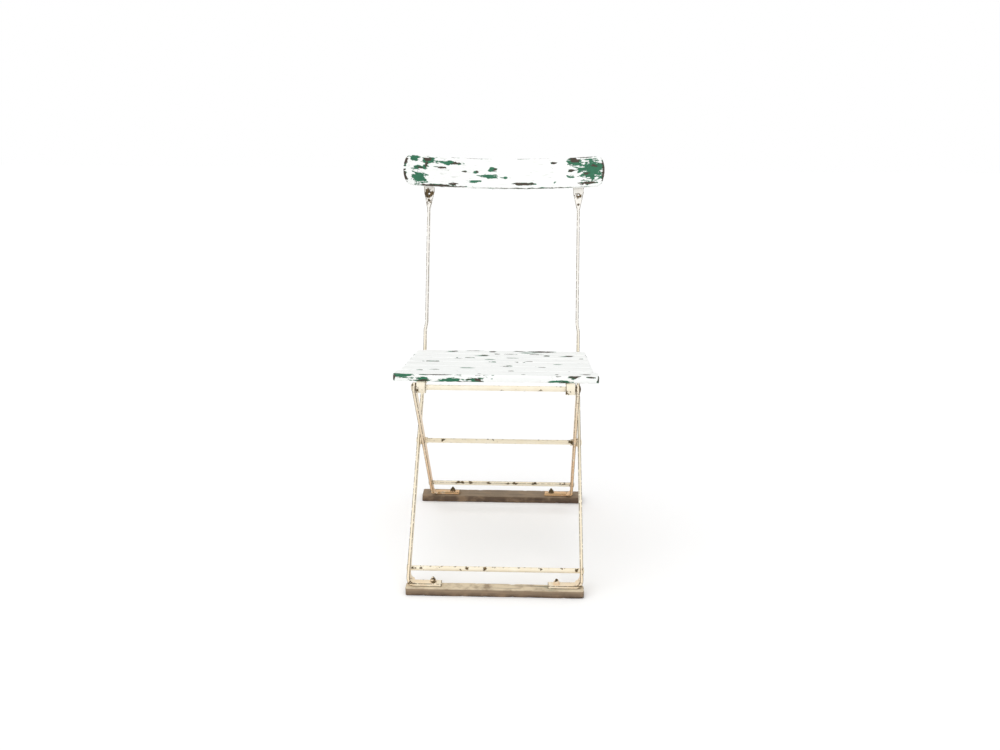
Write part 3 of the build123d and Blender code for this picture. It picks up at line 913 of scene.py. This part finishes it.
def straight(radius, start, end, cell):
    """Points along a straight stretch of a rod."""
    count = max(1, round(abs(end - start) / cell))
    return [(radius, start + (end - start) * step / count) for step in range(count + 1)]


def dome(radius, start, height, steps=5):
    """Points up a low dome, to the axis. A negative height turns it down."""
    angles = [math.radians(90) * step / steps for step in range(steps + 1)]
    return [(radius * math.cos(a), start + height * math.sin(a)) for a in angles]


def threaded(radius, start, end, pitch=0.001, depth=0.0004):
    """Points along a thread, out and in by turns."""
    count = max(1, round(abs(end - start) / pitch))
    ridge = []
    for step in range(count):
        at = start + (end - start) * step / count
        ridge += [(radius - depth, at), (radius, at + (end - start) / count / 2)]
    return ridge + [(radius - depth, end)]


def mirrored_profile(upper):
    """A profile from the middle of a rod to its end, doubled down to the other end."""
    lower = [(radius, -height) for radius, height in reversed(upper)]
    return lower + [point for point in upper if point[1] > 1e-9]


trial = turned(mirrored_profile(straight(0.005, 0.0, 0.02, 0.01) + dome(0.005, 0.02, 0.002)))
print("a short rod has", len(trial.faces), "faces")
trial.free()

# %% Riveted rods
ROD_RADIUS = 0.005
TENON_RADIUS = 0.004
RIVET_RADIUS = 0.007
RIVET_HEIGHT = 0.0025
BAR_THICKNESS = 0.006
ROD_CELL = 0.003
RUST_AND_SILHOUETTE_SHADE = 0.55
ROD_FRONT = Vector((0, -0.0045, 0.002))


def riveted_rod(node, name, body, rust_spots, stain_and_shade):
    """A round rod between two bars, its ends hammered into domes, its top and underside darkened with
    rust colour, partly dirt and partly painted shade.
    """
    low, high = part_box(node)
    outer_face = high.x - RIVET_HEIGHT
    shoulder = outer_face - BAR_THICKNESS
    profile = straight(ROD_RADIUS, 0.0, shoulder, ROD_CELL)
    profile += [(TENON_RADIUS, shoulder), (TENON_RADIUS, outer_face)]
    profile += dome(RIVET_RADIUS, outer_face, RIVET_HEIGHT)
    work = turned(mirrored_profile(profile))
    middle = (low + high) / 2
    work.transform(Matrix.Translation(middle) @ LAY_DOWN)
    store_rust(work, 0.02, stain_and_shade, rust_spots)
    layer = work.verts.layers.float["rust"]
    # More rust colour along the top and underside of the rod: partly rust and dirt, partly painted shade
    # where the round surface turns away.
    for vertex in work.verts:
        turn = abs(vertex.co.z - middle.z) / ROD_RADIUS
        vertex[layer] += RUST_AND_SILHOUETTE_SHADE * max(0.0, turn - 0.5)
    show(work, name, [iron_finish], body, [node])


def front_marks(place, marks):
    """Rust spots on the front of a rod, each given as its X, its reach and its strength."""
    return [(at_side(place, x) + ROD_FRONT, reach, strength) for x, reach, strength in marks]


stretcher_marks = [(-0.165, 0.005, 0.9), (-0.159, 0.004, 0.9), (-0.148, 0.005, 0.9)]
stretcher_marks += [(-0.117, 0.004, 0.5), (-0.056, 0.005, 0.9), (-0.021, 0.007, 1.0)]
stretcher_marks += [(0.092, 0.004, 0.6), (0.162, 0.006, 0.9)]
front_spots = front_marks(front_rod_place, stretcher_marks)
riveted_rod("front_stretcher", "painted_front_stretcher", "long_frame", front_spots, 0.1)
rod_spots = front_marks(seat_rod_place, [(-0.139, 0.02, 0.5), (0.139, 0.02, 0.5)])
riveted_rod("rear_seat_rod", "painted_rear_seat_rod", "long_frame", rod_spots, 0.15)
hinge_spots = front_marks(hinge_place, [(-0.165, 0.012, 0.6), (-0.14, 0.01, 0.5), (0.158, 0.013, 1.0)])
riveted_rod("seat_hinge_rod", "painted_hinge_rod", "short_frame", hinge_spots, 0.1)
pivot_spots = front_marks(pivot_place, [(-0.122, 0.006, 1.0), (0.153, 0.008, 0.8), (-0.155, 0.012, 0.4)])
riveted_rod("pivot_rod", "painted_pivot_rod", "long_frame", pivot_spots, 0.1)

# %% [markdown]
# The foot bolts have round heads under the runners, and show a few threads above their nuts.

# %% Foot bolts
BOLT_RADIUS = 0.003
BOLT_HEAD_RADIUS = 0.006
BOLT_HEAD_HEIGHT = 0.003


def foot_bolts(node, name, body, left_rust, right_rust):
    """A pair of bolts put up through a runner and its feet."""
    low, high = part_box(node)
    reach = high.x - BOLT_HEAD_RADIUS
    thread_start = high.z - 0.006
    pair = bmesh.new()
    for sign, rust in ((-1, left_rust), (1, right_rust)):
        head_top = low.z + BOLT_HEAD_HEIGHT
        head = reversed(dome(BOLT_HEAD_RADIUS, 0.0, BOLT_HEAD_HEIGHT))
        profile = [(radius, head_top - height) for radius, height in head]
        profile += [(BOLT_RADIUS, head_top), (BOLT_RADIUS, thread_start)]
        profile += threaded(BOLT_RADIUS, thread_start, high.z - 0.0006)
        profile += [(BOLT_RADIUS - 0.0008, high.z), (0.0, high.z)]
        work = turned(profile)
        work.transform(Matrix.Translation((sign * reach, (low.y + high.y) / 2, 0.0)))
        store_rust(work, rust, 0.3)
        mesh = bpy.data.meshes.new("one_bolt")
        work.to_mesh(mesh)
        work.free()
        pair.from_mesh(mesh)
        bpy.data.meshes.remove(mesh)
    show(pair, name, [fastener_finish], body, [node])


foot_bolts("front_foot_bolts", "front_bolts", "long_frame", 0.6, 0.1)
foot_bolts("rear_foot_bolts", "rear_bolts", "short_frame", 0.8, 0.8)


# %% Nuts, washers and screws
def hardware(node, name, body, finish, slot, width, left_rust, right_rust, stain_and_shade):
    """A softened copy of nuts, washers or screws, with its own rust on each side."""
    work = iron_copy(node, width, {})
    store_rust(work, left_rust, stain_and_shade)
    layer = work.verts.layers.float["rust"]
    for vertex in work.verts:
        if vertex.co.x > 0:
            vertex[layer] = right_rust
    show(work, name, [finish, finish], body, [node], IRON_SMOOTH)


# node, name, body, finish, slot, edge width, rust on the left, rust on the right, stain
RUSTY = (fastener_finish, "rusty_fasteners")
RUSTY_IRON = (iron_finish, "rusty_fasteners")
hardware_rows = [
    ("front_foot_nuts", "front_nuts", "long_frame", *RUSTY, 0.0005, 0.5, 0.05, 0.5),
    ("front_foot_washers", "front_washers", "long_frame", *RUSTY, 0.0004, 0.35, 0.1, 0.5),
    ("rear_foot_nuts", "rear_nuts", "short_frame", *RUSTY, 0.0005, 0.8, 0.8, 0.6),
    ("rear_foot_washers", "rear_washers", "short_frame", *RUSTY, 0.0004, 0.6, 0.6, 0.8),
    ("pivot_collars", "pivot_collars", "long_frame", iron_finish, "painted_iron", 0.0006, 0.1, 0.6, 0.2),
    ("pivot_washers", "pivot_spacers", "long_frame", *RUSTY_IRON, 0.0005, 0.25, 0.25, 0.2),
    ("seat_screws", "slat_screws", "seat", *RUSTY, 0.0006, 0.8, 0.8, 0.4),
    ("back_screws", "back_slat_screws", "long_frame", *RUSTY, 0.0006, 0.5, 0.5, 0.4),
]
for row in hardware_rows:
    hardware(*row)

# %% [markdown]
# ## Runners
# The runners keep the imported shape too, because its bolt holes and recesses are real. A copy is
# softened with a wider bevel than iron gets, cut into cells, and worn much harder than the slats:
# these boards have spent years on the ground.


# %% Runners
DAMP_AND_SHADE_LEVEL = 0.3


def runner(node, name, body, seed, top_pale_and_lit, all_damp_and_shade, pale_spots, moss_spots):
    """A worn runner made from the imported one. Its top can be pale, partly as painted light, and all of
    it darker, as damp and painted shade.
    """
    low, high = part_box(node)
    middle = (low + high) / 2
    half = (high - low) / 2
    work = iron_copy(node, 0.0016, {0: 0.004, 1: 0.004})
    work.transform(Matrix.Translation(-middle))
    for face in work.faces:
        face.material_index = 0
    layers = {kind: work.verts.layers.float.new(kind) for kind in ("damp_and_shade", "pale", "moss")}
    work.normal_update()
    for vertex in work.verts:
        level = (vertex.co.z + half.z) / (2 * half.z)
        faces_up = max(0.0, vertex.normal.z)
        # Upward faces are painted paler, as painted light on top of weathering. Other faces and the low
        # band are darker, as painted shade on top of damp.
        vertex[layers["damp_and_shade"]] = max(all_damp_and_shade * (1.0 - 0.5 * faces_up), 1.0 - level / DAMP_AND_SHADE_LEVEL)
        vertex[layers["pale"]] = max(top_pale_and_lit * faces_up, patch_field(vertex.co, pale_spots))
        vertex[layers["moss"]] = max(0.0, patch_field(vertex.co, moss_spots))
    wear(work, half, seed, 0.0007, 0.003, 0.006)
    floor_gap = -half.z - min(vertex.co.z for vertex in work.verts)
    work.transform(Matrix.Translation(middle + Vector((0, 0, floor_gap))))
    show(work, name, [runner_finish], body, [node])


pale_end = in_metres([((-178, 0, 2), (26, 20, 12)), ((20, 0, 8), (60, 12, 4))])
mossy_end = in_metres([((120, 0, 8), (50, 14, 8))])
rear_pale_end = in_metres([((190, 0, 4), (16, 12, 8))])
front_seed = Vector((2.2, 5.1, 0.3))
rear_seed = Vector((8.4, 0.6, 3.9))
runner("front_skid", "front_runner", "long_frame", front_seed, 1.0, 0.0, pale_end, mossy_end)
runner("rear_skid", "rear_runner", "short_frame", rear_seed, 0.25, 0.75, rear_pale_end, [])

# %% [markdown]
# ## Floor
# A pale floor catches a soft shadow, so that the chair stands on something. It isn't part of the chair.

# %% Floor
work = bmesh.new()
bmesh.ops.create_grid(work, x_segments=1, y_segments=1, size=40.0)
floor_mesh = bpy.data.meshes.new("studio_floor")
work.to_mesh(floor_mesh)
work.free()
floor_finish, tree, shader, place = new_finish("pale_floor")
shader.inputs["Base Color"].default_value = (0.98, 0.98, 0.98, 1.0)
shader.inputs["Roughness"].default_value = 0.9
shader.inputs["Specular IOR Level"].default_value = 0.0
floor_mesh.materials.append(floor_finish)
floor = bpy.data.objects.new("studio_floor", floor_mesh)
scene.collection.objects.link(floor)
